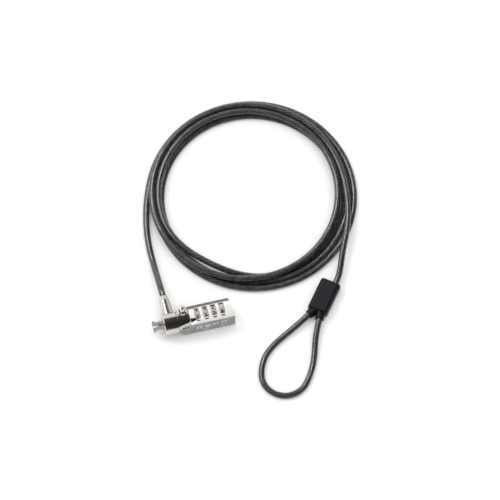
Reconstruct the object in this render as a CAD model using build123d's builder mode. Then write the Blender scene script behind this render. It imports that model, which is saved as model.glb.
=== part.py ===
from build123d import *
from math import atan2, cos, degrees, radians, sin, tan
import os

# Laptop cable lock: a four-dial combination head with two outward hooks, a swivel collar
# that carries the cable, and a coiled jacketed wire rope that ends in a crimped loop.
# Millimetres. The origin is the centre of the nose face, +X runs along the lock barrel from
# nose to tail, +Z is up, and the cable leaves the collar along +Y.

# ---------------------------------------------------------------- driving dimensions
FLOOR_Z = -8.0
RUN = 0.05  # running clearance on a radius
GAP = 0.02  # assembly gap between parts that don't move on each other

# cable
CABLE_R = 2.0
CORE_R = 1.45
JACKET_BORE_R = 1.5
STRAND_PITCH = 4.12
CABLE_LOW_Z = FLOOR_Z + CABLE_R
CABLE_HIGH_Z = CABLE_LOW_Z + STRAND_PITCH
COIL_X, COIL_Y = 76.2, 76.0
COIL_OUTER_R = 65.8
UPPER_X, UPPER_Y, UPPER_R = 74.5, 78.3, 57.4

# loop and its sleeve
SLEEVE_X, SLEEVE_Y = 105.1, -3.2
SLEEVE_ANGLE = 52.7
SLEEVE_LENGTH, SLEEVE_WIDTH, SLEEVE_THICK = 22.7, 13.4, 7.5
SLEEVE_Z = FLOOR_Z + SLEEVE_THICK / 2
LEG_OFFSET = 2.6
BOOT_LENGTH, BOOT_R = 4.2, 3.1
LOOP_R = 15.0
LOOP_CENTRE, LOOP_SHIFT = 58.7, -1.5
STANDING_SPLAY, DEAD_SPLAY = 14.0, 25.0

# collar and cable cone
COLLAR_R = 7.0
COLLAR_LENGTH = 8.93
CONE_X = 4.5
CONE_BASE_R, CONE_TIP_R, CONE_END = 4.2, 2.55, 19.4
STOP_R, STOP_START, STOP_END = 2.6, 5.0, 11.95

# nose barrel
BARREL_R, FLANGE_R, FLANGE_T, BARREL_END = 4.5, 5.5, 1.2, 10.9
SLOT_HALF_Y, SLOT_HALF_Z, SLOT_END = 3.3, 1.35, 8.6

# casing
CASE_START, CASE_END = 9.0, 46.0
TAIL_SLANT = 2.0  # the far side is shorter by this much
CASE_HALF_Y = 7.0
FRONT_R, RAISED_R = 6.98, 7.6
SEAM_X = 17.0
EDGE_Z, CROWN_Z = 5.4, 7.65
CORNER_R = 2.0
SPLIT_Z = -3.0
RAMP_START_Z, RAMP_SLOPE = 4.3, 0.17

# dials and code rings
DIAL_X = [22.2, 27.6, 33.0, 38.4]
DIAL_R, DIAL_WIDTH, BAY_R, BAY_WIDTH = 7.15, 3.2, 7.25, 3.4
RING_R, RING_LENGTH, CHAMBER_R, GATE_T = 4.5, 5.2, 3.3, 1.5
RIB_COUNT = 10
WINDOW_X, WINDOW_Y = 3.3, 7.4

# spindle and button
SPINDLE_R = 1.5
PRESS_TRAVEL = 2.8
CAM_X, CAM_R = 11.38, 4.3
CHAMBER_START, CHAMBER_END = 10.92, 17.8
BUTTON_X, BUTTON_TILT = 13.3, 33.0
BUTTON_R, BEZEL_R, BEZEL_LOW, BEZEL_TOP = 2.3, 3.35, 6.3, 7.7
BUTTON_LOW, BUTTON_SIDE_TOP, BUTTON_TOP = 6.25, 10.5, 11.5

EAR_X, EAR_SPAN = 2.0, 5.6  # two ears keep the button in

# hooks
HOOK_PIVOT_X = 2.5
HOOK_PIN_R = 0.8
HOOK_HALF_Z = 1.3
KNUCKLE_R = 1.6

BUTTON_PLANE = Plane(
    origin=(BUTTON_X, 0, 0),
    x_dir=(1, 0, 0),
    z_dir=(0, sin(radians(BUTTON_TILT)), cos(radians(BUTTON_TILT))),
)
SLEEVE_PLANE = Plane(
    origin=(SLEEVE_X, SLEEVE_Y, SLEEVE_Z),
    x_dir=(sin(radians(SLEEVE_ANGLE)), -cos(radians(SLEEVE_ANGLE)), 0),
    z_dir=(cos(radians(SLEEVE_ANGLE)), sin(radians(SLEEVE_ANGLE)), 0),
)

os.makedirs("parts", exist_ok=True)


def save(builder, name):
    """Labels one finished sub-part and writes its STEP file."""
    builder.part.label = name
    export_step(builder.part, "parts/" + name + ".step")


# ---------------------------------------------------------------- cable route
# The coil is a spiral of half circles on the floor, then a second layer that lies on top of it.
# Angles are measured about the coil from +X, and the cable runs clockwise seen from above.
def smooth(t):
    """A smooth step from 0 at t = 0 to 1 at t = 1."""
    return t * t * (3 - 2 * t)


def on_circle(centre, radius, angle, z):
    """A point of a level circle."""
    return (centre[0] + radius * cos(radians(angle)), centre[1] + radius * sin(radians(angle)), z)


def clockwise(angle):
    """Heading of the cable where it passes this angle of the coil."""
    return (sin(radians(angle)), -cos(radians(angle)), 0)


def coil_arc(centre, radius, start, end, z):
    """One stretch of the coil."""
    middle = (start + end) / 2
    ThreePointArc(*[on_circle(centre, radius, angle, z) for angle in (start, middle, end)])


def sleeve_point(along, across, z=SLEEVE_Z):
    """A point placed from the sleeve: along its axis away from the loop, and across it."""
    a = radians(SLEEVE_ANGLE)
    return (
        SLEEVE_X + along * cos(a) + across * sin(a),
        SLEEVE_Y + along * sin(a) - across * cos(a),
        z,
    )


def sleeve_heading(turn):
    """Heading towards the loop, turned to the standing leg's side by this many degrees."""
    tip, root = sleeve_point(-cos(radians(turn)), sin(radians(turn))), sleeve_point(0, 0)
    return tuple(t - r for t, r in zip(tip, root))


CONE_EXIT = (CONE_X, 20.5, 0)
TAIL_LOW_Y = 52.0  # where the tail reaches the floor
COIL_CENTRE = (COIL_X, COIL_Y)
tail_dx, tail_dy = COIL_X - CONE_X, COIL_Y - TAIL_LOW_Y
TAIL_R = (tail_dx ** 2 + tail_dy ** 2 - COIL_OUTER_R ** 2) / (2 * (tail_dx - COIL_OUTER_R))
TAIL_CENTRE = (CONE_X + TAIL_R, TAIL_LOW_Y)
JOIN_ANGLE = degrees(atan2(tail_dy, COIL_X - TAIL_CENTRE[0]))
FLOOR_TURNS = 3
CLIMB_START, CLIMB_TOP = -95, -130
LEAVE_ANGLE = 12
STANDING_START = 14.0
DEAD_END = 8.0
LEG_START = SLEEVE_LENGTH / 2 - 1.2  # the legs begin to spread just inside the sleeve
# the two legs of the loop: distance from the middle of the sleeve, distance across it, height
STANDING_LEG = [(LEG_START, 2.6, -4.25), (16, 3.5, -4.3), (27.5, 6.3, -5.0), (38, 10.0, -5.9)]
DEAD_LEG = [(LEG_START, -2.6, -4.25), (16, -4.5, -4.35), (24.6, -8.2, -4.9), (33, -12.1, -5.5)]
STANDING_LEG_END = [(48, 12.7, -6)]
DEAD_LEG_END = [(43, -16.3, -5.95), (52, -18.0, -6)]
DEAD_BEND = 64  # where the dead leg meets the round end, about the loop's centre


def coil():
    """The whole coil, from the tail to where the cable leaves for the sleeve."""
    coil_arc(TAIL_CENTRE, TAIL_R, 180, JOIN_ANGLE, CABLE_LOW_Z)
    radius, start = COIL_OUTER_R, JOIN_ANGLE
    shifted = (COIL_X + STRAND_PITCH / 2, COIL_Y)
    for turn in range(FLOOR_TURNS):
        coil_arc(COIL_CENTRE, radius, start, 0, CABLE_LOW_Z)
        last = turn == FLOOR_TURNS - 1
        coil_arc(shifted, radius - STRAND_PITCH / 2, 0, CLIMB_START if last else -180, CABLE_LOW_Z)
        radius, start = radius - STRAND_PITCH, 180
    # the climb: first straight up inside the turn below, then outwards on top of it
    inside = radius + STRAND_PITCH / 2
    rise = [
        on_circle(
            shifted,
            inside,
            CLIMB_START + (CLIMB_TOP - CLIMB_START) * t,
            CABLE_LOW_Z + STRAND_PITCH * smooth(t),
        )
        for t in (0, 0.25, 0.5, 0.75, 1)
    ]
    Spline(rise, tangents=[clockwise(CLIMB_START), clockwise(CLIMB_TOP)])
    upper, upper_shifted = (UPPER_X, UPPER_Y), (UPPER_X - STRAND_PITCH / 2, UPPER_Y)
    Spline(
        rise[-1],
        on_circle(shifted, inside + 1.5, CLIMB_TOP - 17.4, CABLE_HIGH_Z),
        on_circle(shifted, inside + 4.2, CLIMB_TOP - 34.8, CABLE_HIGH_Z),
        on_circle(upper, UPPER_R, 180, CABLE_HIGH_Z),
        tangents=[clockwise(CLIMB_TOP), clockwise(180)],
    )
    coil_arc(upper, UPPER_R, 180, 0, CABLE_HIGH_Z)
    coil_arc(upper_shifted, UPPER_R + STRAND_PITCH / 2, 0, -180, CABLE_HIGH_Z)
    outer = UPPER_R + STRAND_PITCH
    coil_arc(upper, outer, 180, LEAVE_ANGLE, CABLE_HIGH_Z)
    Spline(
        on_circle(upper, outer, LEAVE_ANGLE, CABLE_HIGH_Z),
        (135.6, 62, CABLE_HIGH_Z),
        (131.2, 42, CABLE_HIGH_Z),
        (122.6, 21, -2.7),
        sleeve_point(STANDING_START, LEG_OFFSET),
        tangents=[clockwise(LEAVE_ANGLE), sleeve_heading(0)],
    )


def loop_point(bend):
    """A point of the loop's round end. 90 is its widest on the standing side, and -90 on the other."""
    along = -LOOP_CENTRE - LOOP_R * cos(radians(bend))
    return sleeve_point(along, LOOP_SHIFT + LOOP_R * sin(radians(bend)), CABLE_LOW_Z)


def leg_points(spots):
    """Points of the route from spots along and across the sleeve."""
    return [sleeve_point(-along, across, z) for along, across, z in spots]


def cable_route(start_y, dead_end):
    """The line the rope follows, from inside the cable stop to its dead end in the sleeve."""
    going = leg_points(STANDING_LEG + STANDING_LEG_END) + [loop_point(90)]
    coming = leg_points(DEAD_LEG + DEAD_LEG_END) + [loop_point(-DEAD_BEND)]
    with BuildLine() as route:
        Line((CONE_X, start_y, 0), CONE_EXIT)
        Spline(
            CONE_EXIT,
            (CONE_X, 29.0, -1.35),
            (CONE_X, TAIL_LOW_Y - 9, CABLE_LOW_Z + 0.9),
            (CONE_X, TAIL_LOW_Y, CABLE_LOW_Z),
            tangents=[(0, 1, 0), (0, 1, 0)],
        )
        coil()
        Line(sleeve_point(STANDING_START, LEG_OFFSET), going[0])
        Spline(going, tangents=[sleeve_heading(0), sleeve_heading(0)])
        ThreePointArc(going[-1], loop_point(0), coming[-1])
        Spline(coming, tangents=[sleeve_heading(0), sleeve_heading(90 - DEAD_BEND)])
        Line(coming[0], sleeve_point(dead_end, -LEG_OFFSET))
    return route.wire()


CORE_START = STOP_START + 0.6
with BuildPart() as wire_rope:
    with BuildSketch(Plane(origin=(CONE_X, CORE_START, 0), z_dir=(0, 1, 0))):
        Circle(CORE_R)
    sweep(path=cable_route(CORE_START, DEAD_END + 0.3))
save(wire_rope, "wire_rope")

JACKET_START = STOP_END + 0.1
with BuildPart() as cable_jacket:
    with BuildSketch(Plane(origin=(CONE_X, JACKET_START, 0), z_dir=(0, 1, 0))):
        Circle(CABLE_R)
        Circle(JACKET_BORE_R, mode=Mode.SUBTRACT)
    sweep(path=cable_route(JACKET_START, DEAD_END))
save(cable_jacket, "cable_jacket")

# ---------------------------------------------------------------- cable end fittings
with BuildPart() as rope_stop:
    with BuildSketch(Plane(origin=(CONE_X, STOP_START, 0), z_dir=(0, 1, 0))):
        Circle(STOP_R)
    extrude(amount=STOP_END - STOP_START)
    chamfer(rope_stop.edges().filter_by(GeomType.CIRCLE), 0.3)
    with BuildSketch(Plane(origin=(CONE_X, STOP_START + 0.5, 0), z_dir=(0, 1, 0))):
        Circle(CORE_R + GAP)
    extrude(amount=STOP_END, mode=Mode.SUBTRACT)
save(rope_stop, "rope_stop")

CRIMP_LENGTH, CRIMP_WALL = 9.0, 0.55
CRIMP_START = -3.0
LEG_HOLE_R = CABLE_R + 0.06
LEG_SPOTS = [(LEG_OFFSET, 0), (-LEG_OFFSET, 0)]


def crimp_outline(grow):
    """The rounded outline of the ferrule round both legs of the loop."""
    SlotCenterToCenter(2 * LEG_OFFSET, 2 * (LEG_HOLE_R + CRIMP_WALL + grow))


def leg_bore(leg, inner_end):
    """The line of the hole in the sleeve and boot for one leg."""
    points = leg_points(leg)
    with BuildLine() as bore:
        Line(sleeve_point(inner_end, leg[0][1]), points[0])
        Spline(points, tangents=[sleeve_heading(0), points_heading(points)])
    return bore.wire()


def points_heading(points):
    """Heading of the last stretch of a leg."""
    return tuple(b - a for a, b in zip(points[-2], points[-1]))


with BuildPart() as loop_crimp:
    with BuildSketch(SLEEVE_PLANE.offset(CRIMP_START)):
        crimp_outline(0)
        with Locations(*LEG_SPOTS):
            Circle(LEG_HOLE_R, mode=Mode.SUBTRACT)
    extrude(amount=CRIMP_LENGTH)
save(loop_crimp, "loop_crimp")

with BuildPart() as loop_sleeve:
    with BuildSketch(SLEEVE_PLANE.offset(-SLEEVE_LENGTH / 2)):
        RectangleRounded(SLEEVE_WIDTH, SLEEVE_THICK, 2.4)
    extrude(amount=SLEEVE_LENGTH)
    end_faces = loop_sleeve.faces().filter_by(Axis((0, 0, 0), tuple(SLEEVE_PLANE.z_dir)))
    fillet(end_faces.edges(), 1.3)
    for side, splay in ((1, STANDING_SPLAY), (-1, -DEAD_SPLAY)):
        boot_plane = Plane(
            origin=sleeve_point(-LEG_START, side * LEG_OFFSET - 1.6 * tan(radians(splay))),
            z_dir=sleeve_heading(splay),
        )
        with BuildSketch(boot_plane):
            Circle(BOOT_R)
        extrude(amount=BOOT_LENGTH + 1.2, taper=3)
    for leg, inner_end in ((STANDING_LEG, SLEEVE_LENGTH / 2 + 1), (DEAD_LEG, DEAD_END + 0.6)):
        with BuildSketch(SLEEVE_PLANE.offset(inner_end)):
            with Locations((leg[0][1], 0)):
                Circle(LEG_HOLE_R)
        sweep(path=leg_bore(leg, inner_end), mode=Mode.SUBTRACT)
    with BuildSketch(SLEEVE_PLANE.offset(CRIMP_START - GAP)):
        crimp_outline(GAP)
    extrude(amount=CRIMP_LENGTH + 2 * GAP, mode=Mode.SUBTRACT)
save(loop_sleeve, "loop_sleeve")

# ---------------------------------------------------------------- swivel collar
with BuildPart() as swivel_collar:
    with BuildSketch(Plane.YZ):
        Circle(COLLAR_R)
    extrude(amount=COLLAR_LENGTH)
    chamfer(swivel_collar.faces().sort_by(Axis.X)[0].edges(), 0.6)
    chamfer(swivel_collar.faces().sort_by(Axis.X)[-1].edges(), 0.25)
    with BuildSketch(Plane.XY):
        with BuildLine():
            Polyline(
                (CONE_X, 3.0),
                (CONE_X + CONE_BASE_R + 0.2, 3.0),
                (CONE_X + CONE_BASE_R, 6.6),
                (CONE_X + CONE_TIP_R + 0.75, CONE_END - 3.4),
            )
            Spline(
                (CONE_X + CONE_TIP_R + 0.75, CONE_END - 3.4),
                (CONE_X + CONE_TIP_R + 0.28, CONE_END - 1.2),
                (CONE_X + CONE_TIP_R - 0.12, CONE_END),
            )
            Polyline((CONE_X + CONE_TIP_R - 0.12, CONE_END), (CONE_X, CONE_END), (CONE_X, 3.0))
        make_face()
    revolve(axis=Axis((CONE_X, 0, 0), (0, 1, 0)))
    with BuildSketch(Plane.YZ):
        Circle(BARREL_R + RUN)
    extrude(amount=COLLAR_LENGTH, mode=Mode.SUBTRACT)
    with BuildSketch(Plane.YZ):
        Circle(FLANGE_R + RUN)
    extrude(amount=FLANGE_T + RUN, mode=Mode.SUBTRACT)
    with BuildSketch(Plane(origin=(CONE_X, 0, 0), z_dir=(0, 1, 0))):
        Circle(STOP_R + RUN)
    extrude(amount=STOP_END + RUN, mode=Mode.SUBTRACT)
    with BuildSketch(Plane(origin=(CONE_X, 0, 0), z_dir=(0, 1, 0))):
        Circle(CABLE_R + 0.08)
    extrude(amount=CONE_END + 1, mode=Mode.SUBTRACT)
save(swivel_collar, "swivel_collar")

# ---------------------------------------------------------------- nose barrel and hooks
PIN_X, PIN_R, PIN_HALF = 10.1, 0.6, 5.2

with BuildPart() as nose_barrel:
    with BuildSketch(Plane.YZ):
        Circle(BARREL_R)
    extrude(amount=BARREL_END)
    with BuildSketch(Plane.YZ):
        Circle(FLANGE_R)
    extrude(amount=FLANGE_T)
    chamfer(nose_barrel.faces().sort_by(Axis.X)[0].edges(), 0.2)
    with BuildSketch(Plane.YZ):
        Rectangle(2 * SLOT_HALF_Y, 2 * SLOT_HALF_Z)
    extrude(amount=SLOT_END, mode=Mode.SUBTRACT)
    with BuildSketch(Plane.YZ):
        Circle(SPINDLE_R + RUN)
    extrude(amount=BARREL_END, mode=Mode.SUBTRACT)
    with BuildSketch(Plane.XY):
        with Locations((HOOK_PIVOT_X, 0)):
            Circle(HOOK_PIN_R + GAP)
    extrude(amount=BARREL_R - 0.3, both=True, mode=Mode.SUBTRACT)
    with BuildSketch(Plane.XZ):
        with Locations((PIN_X, SPLIT_Z)):
            Circle(PIN_R + GAP)
    extrude(amount=PIN_HALF, both=True, mode=Mode.SUBTRACT)
save(nose_barrel, "nose_barrel")

with BuildPart() as nose_pin:
    with BuildSketch(Plane.XZ):
        with Locations((PIN_X, SPLIT_Z)):
            Circle(PIN_R)
    extrude(amount=PIN_HALF, both=True)
    chamfer(nose_pin.edges().filter_by(GeomType.CIRCLE), 0.15)
save(nose_pin, "nose_pin")

with BuildPart() as hook_pin:
    with BuildSketch(Plane.XY):
        with Locations((HOOK_PIVOT_X, 0)):
            Circle(HOOK_PIN_R)
    extrude(amount=BARREL_R - 0.4, both=True)
save(hook_pin, "hook_pin")


def hook_plan(side):
    """One hook in plan. The tip turns outwards, and the tail behind the pin is spread by the wedge."""
    edge = [
        (-7.0, 1.0),
        (0.4, 0.35),
        (1.4, 1.0),
        (3.6, 1.2),
        (4.5, 1.05),
        (5.0, 1.0),
        (7.8, 0.54),
        (8.2, 0.54),
        (8.2, 1.8),
        (7.2, 2.4),
        (0.5, 2.6),
        (-5.3, 2.65),
        (-5.5, 3.8),
        (-6.4, 3.8),
        (-7.0, 3.2),
    ]
    Polygon(*[(x, side * y) for x, y in edge], align=None)


def hook_solid(side):
    """Full thickness at the arm and tail, half thickness where the two knuckles cross."""
    with BuildPart() as hook:
        with BuildSketch(Plane.XY.offset(-HOOK_HALF_Z)):
            hook_plan(side)
        extrude(amount=2 * HOOK_HALF_Z)
        tip_edges = hook.edges().filter_by(Axis.Z).filter_by_position(Axis.X, -7.1, -5.2)
        fillet(tip_edges.filter_by(lambda e: abs(e.center().Y) > 3), 0.3)
        with BuildSketch(Plane.XY.offset(0.02 if side > 0 else -HOOK_HALF_Z)):
            with Locations((HOOK_PIVOT_X, 0)):
                Circle(KNUCKLE_R)
        extrude(amount=HOOK_HALF_Z - 0.02)
        with BuildSketch(Plane.XY.offset(-HOOK_HALF_Z if side > 0 else -0.02)):
            with Locations((HOOK_PIVOT_X, 0)):
                Circle(KNUCKLE_R + 0.12)
        extrude(amount=HOOK_HALF_Z + 0.02, mode=Mode.SUBTRACT)
        with BuildSketch(Plane.XY.offset(-HOOK_HALF_Z)):
            with Locations((HOOK_PIVOT_X, 0)):
                Circle(HOOK_PIN_R + RUN)
        extrude(amount=2 * HOOK_HALF_Z, mode=Mode.SUBTRACT)
    return hook


hook_left = hook_solid(1)
save(hook_left, "hook_left")
hook_right = hook_solid(-1)
save(hook_right, "hook_right")

with BuildPart() as hook_spring:
    with BuildSketch(Plane.XY.offset(-0.9)):
        with BuildLine():
            Polyline((-3.4, 0.5), (0.2, 0.14), (0.42, 0.0), (0.2, -0.14), (-3.4, -0.5))
        trace(line_width=0.16)
    extrude(amount=1.8)
save(hook_spring, "hook_spring")

# ---------------------------------------------------------------- casing
CASE_LENGTH = CASE_END - CASE_START


def ramp_height(x):
    """Height of the shoulder beside the round front, rising towards the tail."""
    return RAMP_START_Z + RAMP_SLOPE * (x - CASE_START)


def slant_tail(inset):
    """Cuts the tail end slantwise, this far inside the casing's own end."""
    reach = CASE_HALF_Y + 1
    lean = TAIL_SLANT / (2 * CASE_HALF_Y)
    near_x, far_x = [CASE_END - inset - lean * (CASE_HALF_Y + y) for y in (-reach, reach)]
    with BuildSketch(Plane.XY) as beyond:
        Polygon((near_x, -reach), (CASE_END + 2, -reach), (CASE_END + 2, reach), (far_x, reach), align=None)
    extrude(beyond.sketch, amount=2 * CASE_HALF_Y, both=True, mode=Mode.SUBTRACT)


with BuildPart() as shoulders:
    with BuildSketch(Plane.YZ.offset(CASE_START)) as section:
        with BuildLine():
            ThreePointArc((-CASE_HALF_Y, EDGE_Z), (0, CROWN_Z), (CASE_HALF_Y, EDGE_Z))
            Polyline(
                (CASE_HALF_Y, EDGE_Z),
                (CASE_HALF_Y, FLOOR_Z),
                (-CASE_HALF_Y, FLOOR_Z),
                (-CASE_HALF_Y, EDGE_Z),
            )
        make_face()
        fillet(section.vertices().group_by(Axis.Z)[0], CORNER_R)
    extrude(amount=CASE_LENGTH)
    slant_tail(0)
    chamfer(shoulders.faces().sort_by(Axis.X)[-1].edges(), 0.3)
    ramp_end = CASE_START + (CROWN_Z + 1 - RAMP_START_Z) / RAMP_SLOPE
    with BuildSketch(Plane.XZ):
        Polygon(
            (CASE_START - 1, ramp_height(CASE_START - 1)),
            (ramp_end, CROWN_Z + 1),
            (CASE_START - 1, CROWN_Z + 1),
            align=None,
        )
    extrude(amount=CASE_HALF_Y + 1, both=True, mode=Mode.SUBTRACT)
    with BuildSketch(Plane.XY):
        with BuildLine():
            Polyline((CASE_START, 0), (CASE_START, FRONT_R - 0.25), (CASE_START + 0.25, FRONT_R))
            ThreePointArc((CASE_START + 0.25, FRONT_R), (11.2, 8.5), (12.2, 11.2))
            Polyline((12.2, 11.2), (CASE_END + 1, 11.2), (CASE_END + 1, 0), (CASE_START, 0))
        make_face()
    revolve(axis=Axis.X, mode=Mode.INTERSECT)

with BuildPart() as round_top:
    with BuildSketch(Plane.XY):
        with BuildLine():
            Polyline(
                (CASE_START, 0),
                (CASE_START, FRONT_R - 0.25),
                (CASE_START + 0.25, FRONT_R),
                (SEAM_X - 0.2, FRONT_R),
                (SEAM_X - 0.2, FRONT_R - 0.35),
                (SEAM_X + 0.1, FRONT_R - 0.35),
                (SEAM_X + 0.1, RAISED_R - 0.15),
                (SEAM_X + 0.25, RAISED_R),
                (CASE_END - 0.5, RAISED_R),
                (CASE_END - 0.5, 0),
                (CASE_START, 0),
            )
        make_face()
    revolve(axis=Axis.X)
    with BuildSketch(Plane.YZ.offset(CASE_START)):
        Rectangle(2 * CASE_HALF_Y, 4 * CASE_HALF_Y)
    extrude(amount=CASE_LENGTH, mode=Mode.INTERSECT)
    slant_tail(0.5)

with BuildPart() as casing_form:
    add(shoulders.part)
    add(round_top.part)

SCREW_X, SCREW_Y, SCREW_R, SCREW_TOP = [18.65, 42.5], 4.8, 0.7, -0.6
HEAD_R, HEAD_LOW, HEAD_TOP = 1.3, -7.5, -6.7
SCREW_SPOTS = [(x, y) for x in SCREW_X for y in (-SCREW_Y, SCREW_Y)]
RESET_X0, RESET_X1, RESET_Z0, RESET_Z1, RESET_FLOOR = 10.6, 15.4, 3.2, 4.2, 5.4
SPRING_END = 44.4


def cavity(x0, x1, radius, open_below):
    """A round cavity on the barrel axis. In the upper casing it runs straight down to the split."""
    with BuildSketch(Plane.YZ.offset(x0)) as outline:
        Circle(radius)
        if open_below:
            with Locations((0, SPLIT_Z / 2 - 0.5)):
                Rectangle(2 * radius, 1 - SPLIT_Z)
    extrude(outline.sketch, amount=x1 - x0, mode=Mode.SUBTRACT)


def hollow_out(open_below):
    """Everything that the barrel, spindle, code rings, dials and cross pin need."""
    cavity(CASE_START, CHAMBER_START, BARREL_R + GAP, open_below)
    cavity(CHAMBER_START, CHAMBER_END, 4.6, open_below)
    cavity(CHAMBER_END, SPRING_END, SPINDLE_R + RUN, open_below)
    cavity(DIAL_X[0] - RING_LENGTH / 2 - 0.1, DIAL_X[-1] + RING_LENGTH / 2 + 0.1, RING_R + RUN, open_below)
    for x in DIAL_X:
        cavity(x - BAY_WIDTH / 2, x + BAY_WIDTH / 2, BAY_R, open_below)
    with BuildSketch(Plane.XZ) as pin_hole:
        with Locations((PIN_X, SPLIT_Z)):
            Circle(PIN_R + GAP)
    extrude(pin_hole.sketch, amount=PIN_HALF + GAP, both=True, mode=Mode.SUBTRACT)


def half_space(z0, z1):
    """A slab used to keep one side of the split."""
    with BuildSketch(Plane.XY.offset(z0)) as slab:
        with Locations(((CASE_START + CASE_END) / 2, 0)):
            Rectangle(CASE_LENGTH + 4, 4 * CASE_HALF_Y)
    extrude(slab.sketch, amount=z1 - z0, mode=Mode.INTERSECT)


with BuildPart() as upper_casing:
    add(casing_form.part)
    half_space(SPLIT_Z, CROWN_Z + 2)
    hollow_out(True)
    # dial windows and the index marks beside them
    with BuildSketch(Plane.XY.offset(3.0)):
        with Locations(*[(x, 0) for x in DIAL_X]):
            Rectangle(WINDOW_X, WINDOW_Y)
    extrude(amount=CROWN_Z, mode=Mode.SUBTRACT)
    with BuildSketch(Plane.XY.offset(6.25)):
        with Locations(*[(x, -4.75) for x in DIAL_X]):
            Rectangle(2.4, 0.75)
    extrude(amount=CROWN_Z, mode=Mode.SUBTRACT)
    # button well
    with BuildSketch(BUTTON_PLANE.offset(2.0)):
        Circle(BUTTON_R + 0.1)
        Rectangle(EAR_X + 0.3, EAR_SPAN + 0.4)
    extrude(amount=BEZEL_LOW - 2.0, mode=Mode.SUBTRACT)
    with BuildSketch(BUTTON_PLANE.offset(BEZEL_LOW)):
        Circle(BEZEL_R + GAP)
    extrude(amount=5, mode=Mode.SUBTRACT)
    # openings for the thumb, where the dials stand a little proud of the side
    with BuildSketch(Plane.XZ.offset(CASE_HALF_Y - 0.9)):
        with Locations(*[(x, -0.3) for x in DIAL_X]):
            RectangleRounded(BAY_WIDTH, 4.8, 1.1)
    extrude(amount=2, mode=Mode.SUBTRACT)
    # reset slot in the near side
    with BuildSketch(Plane.XZ.offset(RESET_FLOOR)):
        with Locations(((RESET_X0 + RESET_X1) / 2, (RESET_Z0 + RESET_Z1) / 2)):
            Rectangle(RESET_X1 - RESET_X0, RESET_Z1 - RESET_Z0)
    extrude(amount=5, mode=Mode.SUBTRACT)
    # screw threads
    with BuildSketch(Plane.XY.offset(SPLIT_Z)):
        with Locations(*SCREW_SPOTS):
            Circle(SCREW_R + GAP)
    extrude(amount=SCREW_TOP + 0.2 - SPLIT_Z, mode=Mode.SUBTRACT)
save(upper_casing, "upper_casing")

DETENT_ANGLE = -54.0
DETENT_LOW, DETENT_HIGH, DETENT_DEEP = 7.5, 7.7, 7.75
DETENT_X0, DETENT_X1 = 20.3, 40.7
DETENT_PLANE = Plane(
    origin=((DETENT_X0 + DETENT_X1) / 2, 0, 0),
    x_dir=(1, 0, 0),
    z_dir=(0, cos(radians(DETENT_ANGLE)), sin(radians(DETENT_ANGLE))),
)

with BuildPart() as lower_cover:
    add(casing_form.part)
    half_space(FLOOR_Z - 1, SPLIT_Z)
    hollow_out(False)
    with BuildSketch(DETENT_PLANE.offset(6.6)):
        Rectangle(DETENT_X1 - DETENT_X0 + 0.2, 1.7)
    extrude(amount=DETENT_DEEP - 6.6, mode=Mode.SUBTRACT)
    with BuildSketch(Plane.XY.offset(SPLIT_Z)):
        with Locations(*SCREW_SPOTS):
            Circle(SCREW_R + GAP)
    extrude(amount=-10, mode=Mode.SUBTRACT)
    with BuildSketch(Plane.XY.offset(HEAD_TOP)):
        with Locations(*SCREW_SPOTS):
            Circle(HEAD_R + 0.05)
    extrude(amount=-5, mode=Mode.SUBTRACT)
save(lower_cover, "lower_cover")

with BuildPart() as casing_screws:
    with BuildSketch(Plane.XY.offset(HEAD_LOW)):
        with Locations(*SCREW_SPOTS):
            Circle(HEAD_R)
    extrude(amount=HEAD_TOP - HEAD_LOW)
    with BuildSketch(Plane.XY.offset(HEAD_TOP)):
        with Locations(*SCREW_SPOTS):
            Circle(SCREW_R)
    extrude(amount=SCREW_TOP - HEAD_TOP)
    with BuildSketch(Plane.XY.offset(HEAD_LOW)):
        with Locations(*SCREW_SPOTS):
            Rectangle(1.5, 0.35)
            Rectangle(0.35, 1.5)
    extrude(amount=0.45, mode=Mode.SUBTRACT)
save(casing_screws, "casing_screws")

# ---------------------------------------------------------------- dials and code rings
for number, x in enumerate(DIAL_X, start=1):
    with BuildPart() as dial:
        with BuildSketch(Plane.YZ.offset(x - DIAL_WIDTH / 2)):
            Circle(DIAL_R)
            Circle(RING_R + GAP, mode=Mode.SUBTRACT)
            with PolarLocations(RING_R + 0.1, RIB_COUNT):
                Rectangle(1.0, 0.9, mode=Mode.SUBTRACT)
        extrude(amount=DIAL_WIDTH)
        chamfer(dial.edges().filter_by(GeomType.CIRCLE).sort_by(SortBy.RADIUS)[-2:], 0.3)
        with BuildSketch(Plane.YZ.offset(x - DIAL_WIDTH / 2)):
            with PolarLocations(DIAL_R + 0.15, RIB_COUNT, start_angle=90):
                Circle(0.42)
        extrude(amount=DIAL_WIDTH, mode=Mode.SUBTRACT)
    save(dial, "dial_" + str(number))

    with BuildPart() as code_ring:
        with BuildSketch(Plane.YZ.offset(x - RING_LENGTH / 2)):
            Circle(RING_R)
        extrude(amount=RING_LENGTH)
        with BuildSketch(Plane.YZ.offset(x - 1.4)):
            with PolarLocations(RING_R + 0.1, RIB_COUNT):
                Rectangle(0.9, 0.8)
        extrude(amount=2.8)
        for start in (x - RING_LENGTH / 2, x + GATE_T / 2):
            with BuildSketch(Plane.YZ.offset(start)):
                Circle(CHAMBER_R)
            extrude(amount=(RING_LENGTH - GATE_T) / 2, mode=Mode.SUBTRACT)
        with BuildSketch(Plane.YZ.offset(x - GATE_T / 2)):
            Circle(SPINDLE_R + 0.1)
            with Locations((0, -2.35)):
                Rectangle(1.7, 2.0)
        extrude(amount=GATE_T, mode=Mode.SUBTRACT)
    save(code_ring, "code_ring_" + str(number))

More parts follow.
